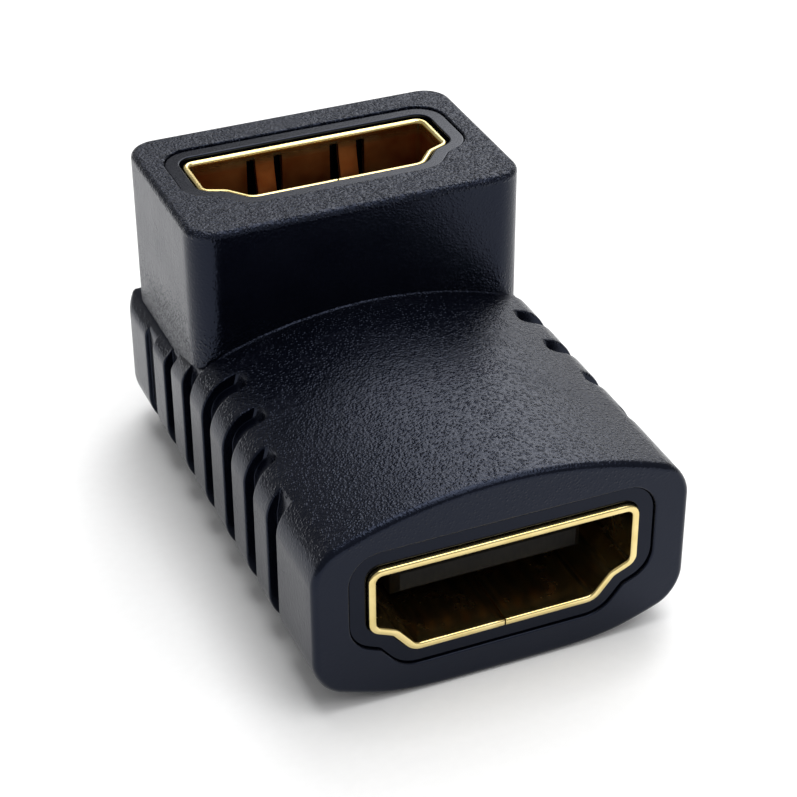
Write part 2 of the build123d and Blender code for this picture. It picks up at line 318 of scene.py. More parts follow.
def groove_inset(x, y, z):
    """Depth of the grip grooves. Across a groove in y each lip is a quarter circle, then the wall drops
    steeply to the floor, and an eased step in |x| ends it. The end is rounded in plan, so it draws back
    by the sagitta r - sqrt(r^2 - d^2) at d from the groove's middle."""
    middle = groove_middles[np.abs(y[..., None] - groove_middles).argmin(-1)]
    number = ((middle - groove_middles[0]) / groove_pitch).round()
    aside = np.abs(y - middle)
    wall = ease((groove_half - aside) / wall_run + 0.5)
    deep = np.where(number == groove_count - 1, last_depth, groove_depth)
    cut = end_inset(aside - groove_half, lip) + (deep - lip) * wall

    run_in = np.minimum(first_run + run_step * number, longest_run)
    beside_block = middle > block_front - groove_half
    over = body_half - np.where(beside_block, block_step, run_in) - run_spare
    draw_back = plan_radius - np.sqrt(plan_radius**2 - np.minimum(aside, groove_half) ** 2)
    reach = np.where(z > port_height, over, body_half - under_run) + plan_share * draw_back
    return cut * ease((np.abs(x) - np.minimum(reach, full_from)) / end_run + end_start)


print("grooves at y in mm:", groove_middles.round(3).tolist())

# %% [markdown]
# ### The ledge and the foot of the block
#
# The lower body ends in a bevelled ledge beside and behind the block. It lies level at the
# back and climbs forwards to the shoulder. Where the crown meets the block's front there is
# a small hollow fillet, which the photo shows as a soft line. Joining the two solids with a
# boolean would leave that line sharp, so the crown is raised towards the block instead.

# %% Ledge, foot and the whole lower body
band_height, band_climb, band_run, band_bevel, band_edge = 8.5, 1.2, 4.975, 0.8, 0.1
no_ledge = -9.0
foot_radius, foot_half, foot_curve = 0.16, 8.2, 0.3
foot_from, foot_fade, ledge_edge = 9.0, 0.6, 0.12


def band_ceiling(x, y, z):
    """Distance above the ledge: a plane that falls away behind the arm, bevelled to the side and to the
    back. In front of the block it is far below nought, so it takes nothing away."""
    height = band_height + band_climb * np.clip((block_front + band_run - y) / band_run, 0, 1)
    run_x, run_y = body_half - block_half, back_y - block_back
    to_side = ((z - height) * run_x + (np.abs(x) - block_half) * band_bevel) / math.hypot(run_x, band_bevel)
    to_back = ((z - height) * run_y + (y - block_back) * band_bevel) / math.hypot(run_y, band_bevel)
    ledge = rounded_corner(rounded_corner(z - height, to_side, band_edge), to_back, band_edge)
    return np.where(y > block_front, ledge, no_ledge)


def foot_of_block(x, y, z):
    """Rise of the crown where it meets the block: a quarter circle in the distance to the block's
    front, which ends where the block's corner curves away."""
    curve = foot_curve * np.maximum(np.abs(x) - foot_half, 0) ** 2
    near = np.clip(block_front - y + curve, 0, foot_radius)
    rise = foot_radius - np.sqrt(foot_radius**2 - (foot_radius - near) ** 2)
    return rise * ease((z - foot_from) / foot_fade) * (y < block_front)


def body_field(x, y, z):
    """Distance outside the lower body: its section, drawn in at both ends and in the grooves, under the
    ledge."""
    inset = end_inset(y - front_y, end_edge) + end_inset(back_y - y, back_corner) + groove_inset(x, y, z)
    section = arm_section(x, z) + inset - foot_of_block(x, y, z)
    return rounded_corner(section, band_ceiling(x, y, z), ledge_edge)


on_side = np.array([body_half]), groove_middles[:1], np.array([port_height])
print("depth of the first groove in mm:", body_field(*on_side)[0].round(3))

# %% [markdown]
# ### From the field to points
#
# Rays run out from the socket's middle, and the skin lies where the field along a ray is
# nought. An even fan of rays would waste most of its points on flat walls, so rays and rows
# are spread by a density: they stand closest where the form bends most.

# %% Tools for rays and rows
def reach_of_rays(field, like, shortest=1.0, longest=15.0, halvings=36):
    """Length along each ray where the field is nought, found by halving the range that holds the change
    of sign. The answer has the shape of the array like."""
    near, far = np.full(like.shape, shortest), np.full(like.shape, longest)
    for _ in range(halvings):
        middle = (near + far) / 2
        inside = field(middle) < 0
        near, far = np.where(inside, middle, near), np.where(inside, far, middle)
    return (near + far) / 2


def spread(density, start, end, count, closed=False):
    """Places between start and end that lie closest where density is high: equal steps of its running
    total."""
    fine = np.linspace(start, end, 20001)
    total = np.concatenate([[0], np.cumsum((density(fine)[1:] + density(fine)[:-1]) / 2)])
    return np.interp(np.linspace(0, total[-1], count + closed)[: count], total, fine)


def polar_reach(outline, turns):
    """Distance from the middle to an outline of points, along each turn, read between its
    neighbours."""
    angle = np.arctan2(outline[:, 1], outline[:, 0]) % (2 * math.pi)
    order = np.argsort(angle)
    return np.interp(turns, angle[order], np.hypot(*outline[order].T), period=2 * math.pi)


def dense(outline, parts=24):
    """The outline with each straight run cut into many parts, so that polar_reach follows it."""
    following = np.roll(outline, -1, 0)
    share = np.linspace(0, 1, parts, endpoint=False)[:, None]
    return (outline[:, None] * (1 - share) + following[:, None] * share).reshape(-1, 2)


def curve_density(x, z, turns):
    """Length of a curve and angle it bends through, both per turn of the ray."""
    dx, dz = np.gradient(x, turns), np.gradient(z, turns)
    bend = np.abs(np.gradient(np.unwrap(np.arctan2(dz, dx)), turns))
    return np.hypot(dx, dz), bend


def close_to(distance, reach):
    """exp(-(d / reach)^4): one near nought, and next to nothing from twice the reach."""
    return np.exp(-((distance / reach) ** 4))


mouth = dense(socket_outline(shell_wall + collar_width + mould_gap, steps=16))
print("mouth of the skin in mm:", np.ptp(mouth, axis=0).round(2))

# %% Rays of the lower body
body_ray_count = 300
groove_ends_at, groove_ends_near = 9.0, 0.9
side_weight, bend_weight, mouth_weight, mouth_bend_weight = 2.2, 1.4, 0.35, 0.5
probe = np.linspace(0, 2 * math.pi, 6001)[:-1]
probe_cos, probe_sin = np.cos(probe), np.sin(probe)
mouth_reach = polar_reach(mouth, probe)
mouth_length, mouth_bend = curve_density(probe_cos * mouth_reach, probe_sin * mouth_reach, probe)


def ray_places(length, bend, count):
    """Turns of the rays round a form, closest where its outline or the mouth is long or bends."""
    wanted = length + bend_weight * bend + mouth_weight * mouth_length + mouth_bend_weight * mouth_bend
    return spread(lambda turns: np.interp(turns, probe, wanted), 0, 2 * math.pi, count, closed=True)


plain = reach_of_rays(lambda t: arm_section(probe_cos * t, port_height + probe_sin * t), probe)
length, bend = curve_density(probe_cos * plain, port_height + probe_sin * plain, probe)
at_groove_ends = close_to(np.abs(probe_cos * plain) - groove_ends_at, groove_ends_near)
body_turns = ray_places(length * (1 + side_weight * at_groove_ends), bend, body_ray_count)
print("closest rays of the lower body:", round(math.degrees(np.diff(body_turns).min()), 2), "degrees apart")

# %% Rows of the lower body
middle_row_count, edge_row_count, back_row_count = 250, 8, 14
plain_step, lip_step, wall_step, foot_step = 0.8, 0.04, 0.01, 0.06
lip_near, wall_near, foot_near = 0.15, 0.035, 0.35
walls = np.concatenate([groove_middles - groove_half, groove_middles + groove_half])


def row_density(y):
    """Rows wanted per mm. The steps say how close rows should be where a groove's lip rolls over, down
    its wall and at the block's foot, next to the step on plain stretches. The total is then spread over
    the row count."""
    from_wall = np.abs(y[:, None] - walls)
    at_grooves = close_to(from_wall, lip_near) / lip_step + close_to(from_wall, wall_near) / wall_step
    return 1 / plain_step + at_grooves.sum(1) + close_to(y - block_front, foot_near) / foot_step


def quarter_drop(count):
    """1 - cos(a) for a from nought to a quarter turn: places along a rounded end, closest at its
    face."""
    return 1 - np.cos(np.linspace(0, math.pi / 2, count))


front_rows = front_y + end_edge * quarter_drop(edge_row_count)
back_rows = back_y - back_corner * quarter_drop(back_row_count)[::-1]
middle_rows = spread(row_density, front_rows[-1], back_rows[0], middle_row_count)
body_rows = np.concatenate([front_rows, middle_rows[1:-1], back_rows])
print("lower body:", len(body_turns), "rays by", len(body_rows), "rows")

# %% [markdown]
# ### Faces, mouths and hollows
#
# Each end face has a mouth that shows the inner mould. A mouth could be cut out afterwards,
# but the cut would break the rings. So the stack starts at the bottom of a hollow behind the
# mouth, climbs its wall, rolls over the mouth's edge, crosses the face and then runs down
# the outside. Face, mouth and wall are one skin.

# %% The lower body as one closed skin
mouth_edge, mouth_depth, edge_steps = 0.1, 11.7, 5
face_shares, back_shares = (0.0, 0.3, 0.65, 0.97), (0.97, 0.6, 0.25)


def end_rings(outer, mouth_at):
    """Rings in the plane of an end face and down its mouth, from the bottom of the hollow outwards.
    Each is (reach along the rays, depth behind the face). The mouth's edge is a quarter circle, with a
    ring held close on either side of it, so that the smooth shading stays on the edge."""
    edge, depth = mouth_edge, mouth_depth
    swing = np.linspace(0, math.pi / 2, edge_steps)
    rings = [(mouth_at * 0.5, depth), (mouth_at, depth), (mouth_at, depth / 2), (mouth_at, edge * 1.4)]
    rings += [(mouth_at + edge * (1 - math.cos(a)), edge * (1 - math.sin(a))) for a in swing]
    inner = mouth_at + edge * 1.3
    rings += [(inner + (outer - inner) * share, 0.0) for share in face_shares]
    return rings


def body_ring(reach, y):
    """A ring of the lower body at y, whose points lie at a reach along the rays from the front socket's
    middle."""
    return np.stack([body_cos * reach, np.zeros_like(reach) + y, port_height + body_sin * reach], -1)


body_cos, body_sin = np.cos(body_turns), np.sin(body_turns)
grid_y = np.repeat(body_rows[:, None], len(body_turns), 1)
body_reach = reach_of_rays(lambda t: body_field(body_cos * t, grid_y, port_height + body_sin * t), grid_y)
body_face = end_rings(body_reach[0], polar_reach(mouth, body_turns))
body_rings = [body_ring(reach, front_y + depth) for reach, depth in body_face]
body_rings += [body_ring(reach, y) for reach, y in zip(body_reach, body_rows)]
body_rings += [body_ring(body_reach[-1] * share, body_rows[-1]) for share in back_shares]
lower_body = closed_stack(np.array(body_rings))
print("lower body holds", round(float(signed_volume(*lower_body))), "mm3")

# %% The block as one closed skin
block_ray_count, block_length_weight = 220, 0.6
wall_heights = [17.4, 16.8, 15.0, 12.6, 10.2, 7.8, 4.5, 2.0]


def block_field(x, y, inset):
    """Distance outside the block's plan, a rounded rectangle, drawn in by inset."""
    half_depth = (block_back - block_front) / 2
    from_middle = np.abs(y - block_back + half_depth) - half_depth
    return rounded_corner(np.abs(x) - block_half, from_middle, block_corner) + inset


def block_ring(reach, z):
    """A ring of the block at height z, whose points lie at a reach along the rays from the upper
    socket's middle."""
    return np.stack([block_cos * reach, upper_port_y + block_sin * reach, np.full_like(reach, z)], -1)


plain = reach_of_rays(lambda t: block_field(probe_cos * t, upper_port_y + probe_sin * t, 0.0), probe)
length, bend = curve_density(probe_cos * plain, probe_sin * plain, probe)
block_turns = ray_places(block_length_weight * length, bend, block_ray_count)
block_cos, block_sin = np.cos(block_turns), np.sin(block_turns)
block_rows = np.concatenate([block_top - end_edge * quarter_drop(edge_row_count), wall_heights])
block_inset = end_inset(block_top - block_rows, end_edge)[:, None] + np.zeros(len(block_turns))
block_reach = reach_of_rays(
    lambda t: block_field(block_cos * t, upper_port_y + block_sin * t, block_inset), block_inset)
block_face = end_rings(block_reach[0], polar_reach(mouth, block_turns))
block_rings = [block_ring(reach, block_top - depth) for reach, depth in block_face]
block_rings += [block_ring(reach, z) for reach, z in zip(block_reach, block_rows)]
block = closed_stack(np.array(block_rings))
print("block:", len(block_turns), "rays by", len(block_rows), "rows")

# %% [markdown]
# ### How much grain each place has
#
# The mould's texture is strong on the block's top and on the crown and weak elsewhere. A
# pattern can't know where it is on the part, so each point carries its share of grain as an
# attribute, which the skin's material reads.

# %% The share of grain, and the skin as a piece
front_share, wall_share, groove_share, top_extra = 0.3, 0.22, 0.05, 0.7
over_crown, crown_from, crown_fade = 12.0, 9.2, 0.7
top_from, front_from, fade, in_cut = 0.5, 0.1, 0.3, 0.08

points = np.concatenate([lower_body[0], block[0]])
heights = points[:, 2]
on_block = heights > over_crown
behind_front = ease((points[:, 1] - front_y - front_from) / fade)
near_top, near_crown = (heights - block_top + top_from) / fade, (heights - crown_from) / crown_fade
upwards = np.where(on_block, ease(near_top), ease(near_crown))
in_groove = np.concatenate([groove_inset(*lower_body[0].T) > in_cut, np.zeros(len(block[0]), bool)])
plain_grain = wall_share + (1 - wall_share + top_extra * on_block) * upwards
grain = (front_share + (1 - front_share) * behind_front) * np.where(in_groove, groove_share, plain_grain)
skin = mesh_object("housing_skin", [lower_body, block], {"grain": grain})
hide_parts("outer_housing")

# %% [markdown]
# ## The inner mould
#
# What shows of the inner mould is a flat collar round each rim. The front collar lies as
# deep as in the CAD model. The upper one lies nearly flush with the end face in the photo,
# 0.12 mm deep, where the solid's is 0.55 mm deep, so the CAD mesh can't just be kept. Each
# collar is made as the end of a sleeve round its shell, because the same rings that close the
# sleeve also round the collar's edges. A plain core hidden in the housing joins the sleeves.

# %% Collars, sleeves and core
front_collar_y, upper_collar_z = box_mm("inner_mould")[0][1], block_top - 0.12
front_sleeve_gap, upper_sleeve_gap = 0.05, 0.14
core_margin, core_corner, core_ends = 0.25, 1.2, (-5.8, 13.17)


def sleeve(to_world, gap, long=11.0, edge=0.06, flat_from=0.1):
    """A tube round the shell with a gap between them, closed on itself. Its rings grow from the inner
    wall to the outer one, and each edge of the flat collar is a quarter circle. A ring is given as
    (grow, depth)."""
    inner, outer = shell_wall + gap, shell_wall + collar_width
    swing = np.linspace(0, math.pi / 2, 4)
    near = [(inner + edge * (1 - math.cos(a)), edge * (1 - math.sin(a))) for a in swing]
    near += [(inner + flat_from, 0.0)]
    far = [(outer + inner - grow, depth) for grow, depth in near[::-1]]
    down = [(outer, edge * 1.5), (outer, long), (inner, long)]
    rings = [(inner, long), (inner, edge * 1.5)] + near + far + down
    around = len(socket_outline())
    outlines = [np.column_stack([socket_outline(grow), np.full(around, depth)]) for grow, depth in rings]
    points = to_world(np.concatenate(outlines))
    faces = ring_faces(len(rings), around)
    return points, faces if signed_volume(points, faces) > 0 else faces[:, ::-1]


def from_front(points, face_y):
    """Points of the form (x, y, depth) laid in the front socket, whose face is at face_y."""
    return np.stack([points[:, 0], face_y + points[:, 2], port_height + points[:, 1]], -1)


def from_top(points, face_z):
    """Points of the form (x, y, depth) laid in the upper socket, whose face is at face_z."""
    return np.stack([points[:, 0], upper_port_y + points[:, 1], face_z - points[:, 2]], -1)


def core_section(x, z):
    """Distance outside the core's section, a rounded rectangle."""
    return rounded_corner(np.abs(x) - core_half, np.abs(z) - core_half_height, core_corner)


front_sleeve = sleeve(lambda points: from_front(points, front_collar_y), front_sleeve_gap)
upper_sleeve = sleeve(lambda points: from_top(points, upper_collar_z), upper_sleeve_gap)

core_half = open_width / 2 + shell_wall + collar_width + core_margin
core_half_height = open_height / 2 + shell_wall + collar_width + core_margin
core_turns = np.linspace(0, 2 * math.pi, 64, endpoint=False)
core_cos, core_sin = np.cos(core_turns), np.sin(core_turns)
core_reach = reach_of_rays(lambda t: core_section(core_cos * t, core_sin * t), core_turns)
core_x, core_z = core_cos * core_reach, port_height + core_sin * core_reach
core = closed_stack(np.array([np.stack([core_x, np.full_like(core_x, y), core_z], -1) for y in core_ends]))
inner = mesh_object("mould_with_collars", [front_sleeve, upper_sleeve, core])
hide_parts("inner_mould")

# %% [markdown]
# ## The gilt shells
#
# Each socket is lined with a shell stamped from thin sheet, folded until its edges meet in a
# seam on the narrow side, and plated with gold. Its wide wall carries two springs, each cut
# free by a slit round three sides and bent inwards to grip the plug. Sheet metal is easiest
# to make as a sheet: a grid follows the middle of the wall, the slits are faces left out of
# it, the springs are bent by moving points inwards, and modifiers add the wall's thickness
# and the worn edges.

# %% Columns of the sheet, round the socket
spring_places, spring_half, slit = np.array([-2.5, 2.5]), 0.55, 0.5
seam_half, corner_steps, slit_steps = 0.04, 7, 7
springs_within = 4.5


def wall_path():
    """The middle of the wall as an open line, from one side of the seam round to the other, with the
    distance run at each point. Rolling the outline by four corners brings the seam to its ends."""
    loop = np.roll(socket_outline(shell_wall / 2, corner_steps), -4 * corner_steps, 0)
    narrow_y = loop[:, 1].min()
    path = np.concatenate([[[-seam_half, narrow_y]], loop, [[seam_half, narrow_y]]])
    return path, np.concatenate([[0], np.cumsum(np.hypot(*np.diff(path, axis=0).T))])


def slit_places(path, far):
    """Distances along the path at which the springs' middles, the slits' edges and the steps of their
    round tops lie. They are read off the straight run of the wide wall."""
    left = np.linspace(-spring_half - slit, -spring_half, slit_steps)
    offsets = np.concatenate([left, [0.0], -left])
    on_top = np.abs(path[:, 1] - path[:, 1].max()) < 1e-6
    order = np.argsort(path[on_top, 0])
    return np.interp((spring_places[:, None] + offsets).ravel(), path[on_top, 0][order], far[on_top][order])


def wall_columns(spacing=1.0, closest=0.02):
    """x, y and the direction inwards at each column of the grid."""
    path, far = wall_path()
    evenly = np.arange(spacing / 2, far[-1], spacing)
    places = np.unique(np.concatenate([far, slit_places(path, far), evenly]).round(5))
    places = places[np.concatenate([[True], np.diff(places) > closest])]
    line = np.stack([np.interp(places, far, path[:, i]) for i in (0, 1)], -1)
    along = np.gradient(line, places, axis=0)
    inwards = across(along) / np.linalg.norm(along, axis=1)[:, None]
    if (inwards * line).sum() > 0:
        inwards = -inwards
    return *line.T, inwards


print("columns round a shell:", len(wall_columns()[0]))

# %% Rows, slits and springs of the sheet
spring_start, spring_end, window_end = 0.5, 5.1, 5.6
crest_at, crest_lift, drawn_back = 0.65, 0.5, 0.55
row_depths = np.array([
    0, 0.015, 0.05, 0.1, shell_wall / 2, 0.3, spring_start, 0.9, 1.4, 2.0, 2.6, 3.1, 3.5, 3.9, 4.4,
    spring_end, window_end, 7.0, 9.0, shell_depth])


def spring_lift(depth):
    """How far a spring is bent in at a depth: an eased rise to its crest, and about half way back after
    it."""
    along = np.clip((depth - spring_start) / (spring_end - spring_start), 0, 1)
    return crest_lift * ease(along / crest_at) * (1 - drawn_back * ease((along - crest_at) / (1 - crest_at)))


def shell_sheet(spare=0.01):
    """Points (x, y, depth) and faces of the sheet. Rows go down the socket and columns run round it
    from one side of the seam to the other. A slit's top is a half circle, so its row drops by the
    circle's sagitta."""
    x, y, inwards = wall_columns()
    slit_row, end_row = (int(np.argmin(np.abs(row_depths - at))) for at in (spring_start, spring_end))
    wide = (y > open_height / 2) & (np.abs(x) < springs_within)
    aside = np.abs(np.abs(x) - spring_places[1])
    in_slit = wide & (aside > spring_half + spare) & (aside < spring_half + slit - spare)
    on_spring = wide & (aside < spring_half + spare)

    from_middle = np.clip(aside - spring_half, 0, slit) - slit / 2
    sagitta = slit / 2 - np.sqrt(np.maximum((slit / 2) ** 2 - from_middle**2, 0))
    depth = row_depths[:, None] + np.zeros(len(x))
    depth[slit_row] += np.where(in_slit, sagitta, 0)
    lift = np.where(on_spring & (depth < spring_end + 0.1), spring_lift(depth), 0)
    points = np.stack([x + inwards[:, 0] * lift, y + inwards[:, 1] * lift, depth], -1).reshape(-1, 3)

    rows, columns = np.arange(len(row_depths) - 1)[:, None], np.arange(len(x) - 1)
    first = rows * len(x) + columns
    quads = np.stack([first, first + 1, first + 1 + len(x), first + len(x)], -1)
    aside = np.abs(np.abs(x[1:] + x[:-1]) / 2 - spring_places[1])
    on_top = np.minimum(y[1:], y[:-1]) > open_height / 2
    beside = (aside > spring_half) & (aside < spring_half + slit) & (rows >= slit_row) & (rows <= end_row)
    behind = (aside < spring_half) & (rows == end_row)
    return points, quads[~(on_top & (beside | behind))]


print("a spring's crest stands", spring_lift(row_depths).max().round(2), "mm into the socket")

# %% Shells from the sheet
# Depth at which the painted shade inside a shell begins, and the depth over which it grows
deep_shade_from, deep_shade_over = 0.3, 0.5
rim_edge, rim_edge_angle = 0.05, 50


def finish_shell(name, to_world, power, shade_and_dullness, thinnest=0.02):
    """Places the sheet in its socket and gives it its wall. The wall is w thick, and at a depth d less
    than w / 2 it thins to w (1 - (1 - 2d / w)^p)^(1 / p): a half circle for p = 2, and a flatter rim
    for a higher power."""
    flat, faces = shell_sheet()
    used = np.unique(faces)
    faces, flat = np.searchsorted(used, faces), flat[used]
    points = to_world(flat)
    outwards = points[faces].mean(1) - points.mean(0)
    normals = np.cross(points[faces[:, 1]] - points[faces[:, 0]], points[faces[:, 3]] - points[faces[:, 0]])
    if (normals * outwards).sum() < 0:
        faces = faces[:, ::-1]
    # Deeper in the socket the colour darkens and reddens as painted shade, and the roughness rises
    dull_and_shade = shade_and_dullness * ease((flat[:, 2] - deep_shade_from) / deep_shade_over)
    piece = mesh_object(name.replace("shell", "gilt_shell"), [(points, faces)], {"dull_and_shade": dull_and_shade})

    thick = piece.vertex_groups.new(name="thick")
    short = 1 - np.clip(flat[:, 2] * 2 / shell_wall, 0, 1)
    for point, share in enumerate((1 - short**power) ** (1 / power)):
        thick.add([point], max(float(share), thinnest), "REPLACE")
    wall = piece.modifiers.new("wall", "SOLIDIFY")
    wall.thickness, wall.offset, wall.use_even_offset = shell_wall * MM, 0.0, True
    wall.vertex_group = thick.name
    edges = piece.modifiers.new("edges", "BEVEL")
    edges.width, edges.segments = rim_edge * MM, 2
    edges.limit_method, edges.angle_limit = "ANGLE", math.radians(rim_edge_angle)
    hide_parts(name)
    return piece


# The front shell has less painted shade inside than the top one
front_shell = finish_shell(
    "front_shell", lambda points: from_front(points, front_rim_y), power=4, shade_and_dullness=0.3)
top_shell = finish_shell(
    "top_shell", lambda points: from_top(points, upper_rim_z), power=2, shade_and_dullness=1.0)

# %% [markdown]
# ## Finishes
#
# Colours are written as they look on a screen, in hex, and turned to the linear values that
# the shader needs by one function. Patterns read object coordinates, which are metres here,
# so a scale of 1 / (size in metres) gives a pattern of a real size. One short function adds
# a node, sets its options and links or sets its inputs.

# %% Colour and node helpers
# Noise mostly lies between these two values, so Map Range stretches that span
noise_span = {"From Min": 0.3, "From Max": 0.7}


def linear(hex_colour):
    """sRGB hex to linear RGBA: c / 12.92 below 0.04045, and ((c + 0.055) / 1.055) ^ 2.4 above."""
    c = np.array([int(hex_colour[i:i + 2], 16) for i in (1, 3, 5)]) / 255
    return (*np.where(c <= 0.04045, c / 12.92, ((c + 0.055) / 1.055) ** 2.4).tolist(), 1.0)


def per_mm(size):
    """A pattern's scale for features about size mm across: 1 / (size in metres)."""
    return 1 / (size * MM)


def add(tree, kind, inputs=None, out=None, **settings):
    """Adds a node and returns it, or the output named by out. Each input is a value, or another node's
    output to link."""
    node = tree.nodes.new("ShaderNode" + kind)
    for key, value in settings.items():
        setattr(node, key, value)
    for key, value in (inputs or {}).items():
        if isinstance(value, bpy.types.NodeSocket):
            tree.links.new(value, node.inputs[key])
        else:
            node.inputs[key].default_value = value
    return node.outputs[out] if out else node


def new_material(name):
    """A material, its empty tree and the object coordinates in that tree."""
    material = bpy.data.materials.new(name)
    material.use_nodes = True
    material.node_tree.nodes.clear()
    return material, material.node_tree, add(material.node_tree, "TexCoord", out="Object")


def paint(names, material):
    """Gives CAD nodes a material by their own material slots."""
    for name in names:
        node = frame["nodes"][name]
        if node.material_slots:
            for holder in node.material_slots:
                holder.material = material
        else:
            node.data.materials.append(material)


print("mid grey #808080 is", round(linear("#808080")[0], 3), "to the shader")

# %% [markdown]
# ### Flexible PVC from a spark-eroded mould
#
# The skin is PVC, moulded in a steel tool that was spark-eroded. That leaves a fine grain of
# low domes, which glitters under a soft light. Real domes would take millions of faces, so
# they are a bump pattern: cells about 0.16 mm apart, as in the photo, each with a height of
# its own. Slower noise makes the surface gently uneven. The photo's skin mirrors little and
# faintly blue, so the specular level is low and tinted.

# %% The skin's finish
skin_plastic, tree, place = new_material("spark_textured_pvc")
amount = add(tree, "Attribute", out="Fac", attribute_name="grain")
pebble = add(tree, "TexVoronoi", {"Vector": place, "Scale": per_mm(0.16)}).outputs
fine = add(tree, "TexNoise", {"Vector": place, "Scale": per_mm(0.15), "Roughness": 0.55}, out="Fac")
broad = add(tree, "TexNoise", {"Vector": place, "Scale": per_mm(0.4)}, out="Fac")
soft = add(tree, "TexNoise", {"Vector": place, "Scale": per_mm(1.1)}, out="Fac")
cloud = add(tree, "TexNoise", {"Vector": place, "Scale": per_mm(2.5), "Detail": 3.0}, out="Fac")

fine = add(tree, "MapRange", {"Value": fine, **noise_span, "To Max": 0.3}, out="Result")
broad = add(tree, "MapRange", {"Value": broad, **noise_span}, out="Result")
domes = add(tree, "MapRange", {"Value": pebble["Distance"], "From Min": 0.1, "From Max": 0.6,
                               "To Min": 1.0, "To Max": 0.0}, out="Result", interpolation_type="SMOOTHSTEP")
rocky = add(tree, "Math", {0: domes, 1: pebble["Color"], 2: fine}, out="Value", operation="MULTIPLY_ADD")
rocky = add(tree, "Math", {0: broad, 1: 0.3, 2: rocky}, out="Value", operation="MULTIPLY_ADD")
uneven = add(tree, "Math", {0: soft, 1: 0.12}, out="Value", operation="MULTIPLY")
height = add(tree, "Math", {0: rocky, 1: amount, 2: uneven}, out="Value", operation="MULTIPLY_ADD")
bump = add(tree, "Bump", {"Height": height, "Strength": 1.0, "Distance": 0.045 * MM}, out="Normal")

pvc_dark, pvc_light, pvc_tint = linear("#020309"), linear("#04050c"), linear("#c4d4ff")
shade = add(tree, "MapRange", {"Value": cloud, **noise_span}, out="Result")
shade = add(tree, "MixRGB", {"Fac": shade, "Color1": pvc_dark, "Color2": pvc_light}, out="Color")
rough = add(tree, "MapRange", {"Value": cloud, **noise_span, "To Min": 0.22, "To Max": 0.27}, out="Result")
rough = add(tree, "Math", {0: amount, 1: 0.02, 2: rough}, out="Value", operation="MULTIPLY_ADD")
shader = add(tree, "BsdfPrincipled", {
    "Base Color": shade, "Roughness": rough, "Normal": bump, "IOR": 1.53,
    "Specular IOR Level": 0.28, "Specular Tint": pvc_tint}, out="BSDF")
add(tree, "OutputMaterial", {"Surface": shader})
skin.data.materials.append(skin_plastic)
print(skin_plastic.name, "has", len(tree.nodes), "nodes")

# %% [markdown]
# ### Smooth PVC
#
# The inner mould shows as a collar round each rim. It came from a polished part of the tool,
# so it is smoother than the skin. It could share the skin's material with no grain, but its
# shine is sharper, so it has its own: faint clouds in the colour and a trace of unevenness.

# %% The collars' finish
mould_plastic, tree, place = new_material("smooth_pvc")
cloud = add(tree, "TexNoise", {"Vector": place, "Scale": per_mm(1.5)}, out="Fac")
dust = add(tree, "TexNoise", {"Vector": place, "Scale": per_mm(0.12)}, out="Fac")
shade = add(tree, "MapRange", {"Value": cloud, **noise_span}, out="Result")
shade = add(tree, "MixRGB", {"Fac": shade, "Color1": pvc_dark, "Color2": pvc_light}, out="Color")
rough = add(tree, "MapRange", {"Value": dust, **noise_span, "To Min": 0.13, "To Max": 0.19}, out="Result")
bump = add(tree, "Bump", {"Height": dust, "Strength": 0.3, "Distance": 0.01 * MM}, out="Normal")
shader = add(tree, "BsdfPrincipled", {
    "Base Color": shade, "Roughness": rough, "Normal": bump, "IOR": 1.53,
    "Specular IOR Level": 0.2, "Specular Tint": pvc_tint}, out="BSDF")
add(tree, "OutputMaterial", {"Surface": shader})
inner.data.materials.append(mould_plastic)
print(mould_plastic.name, "has", len(tree.nodes), "nodes")

# %% [markdown]
# ### Gold plate on stamped brass
#
# The plate is thin and bright, laid over sheet that was rolled and stamped. Rolling leaves
# long faint streaks, and handling leaves the rim slightly duller in patches. Deeper in each
# socket the colour turns darker and redder as painted shade, most of all in the top socket,
# and the roughness rises there too. A metal's look comes from its colour and roughness, so both vary.

# %% The shells' finish
gold, tree, place = new_material("gold_plated_brass")
# This attribute darkens and reddens the colour deep in a socket as painted shade, and raises the roughness
dull_and_shade = add(tree, "Attribute", out="Fac", attribute_name="dull_and_shade")
patch = add(tree, "TexNoise", {"Vector": place, "Scale": per_mm(1.2), "Detail": 3.0}, out="Fac")
streak_place = add(tree, "Mapping", {"Vector": place, "Scale": (1.0, 0.12, 0.12)}, out="Vector")
streak = add(tree, "TexNoise", {"Vector": streak_place, "Scale": per_mm(0.05)}, out="Fac")
bump = add(tree, "Bump", {"Height": streak, "Strength": 0.25, "Distance": 0.006 * MM}, out="Normal")

share = add(tree, "MapRange", {"Value": patch, **noise_span}, out="Result")
plate = {"Fac": share, "Color1": linear("#dcc684"), "Color2": linear("#eeda9c")}
# The darker, redder colour here is painted shade for the depth of the sockets
shaded_brass = {"Fac": share, "Color1": linear("#b06a38"), "Color2": linear("#c98a50")}
plate, shaded_brass = (add(tree, "MixRGB", colours, out="Color") for colours in (plate, shaded_brass))
shade = add(tree, "MixRGB", {"Fac": dull_and_shade, "Color1": plate, "Color2": shaded_brass}, out="Color")
rough = add(tree, "MapRange", {"Value": patch, **noise_span, "To Min": 0.17, "To Max": 0.22}, out="Result")
rough = add(tree, "Math", {0: dull_and_shade, 1: 0.22, 2: rough}, out="Value", operation="MULTIPLY_ADD")
shader = add(tree, "BsdfPrincipled", {
    "Base Color": shade, "Roughness": rough, "Normal": bump, "Metallic": 1.0}, out="BSDF")
add(tree, "OutputMaterial", {"Surface": shader})
for shell in (front_shell, top_shell):
    shell.data.materials.append(gold)
print(gold.name, "has", len(tree.nodes), "nodes")
